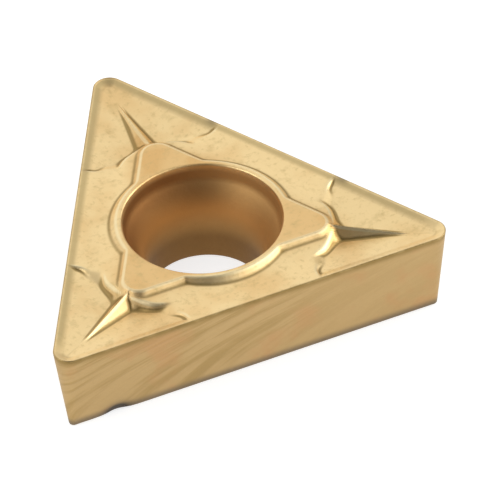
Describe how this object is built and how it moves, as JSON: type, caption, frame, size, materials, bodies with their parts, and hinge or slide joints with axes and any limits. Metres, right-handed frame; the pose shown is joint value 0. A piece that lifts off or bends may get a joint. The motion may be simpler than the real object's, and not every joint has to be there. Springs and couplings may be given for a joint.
{
  "type": "carbide insert",
  "caption": "Triangular indexable turning insert with a moulded chip groove, relieved flanks and a seat for a countersunk clamping screw.",
  "frame": {"origin": "on the screw hole's axis, in the plane of the seat face", "axes": "+Z out of the rake face along the screw hole; +Y towards one cutting corner"},
  "size_m": [0.0104, 0.0091, 0.0025],
  "materials": {
    "coated_carbide": "satin gold titanium nitride coating on cemented carbide"
  },
  "bodies": {
    "root": {"insert": "coated_carbide"}
  },
  "joints": []
}
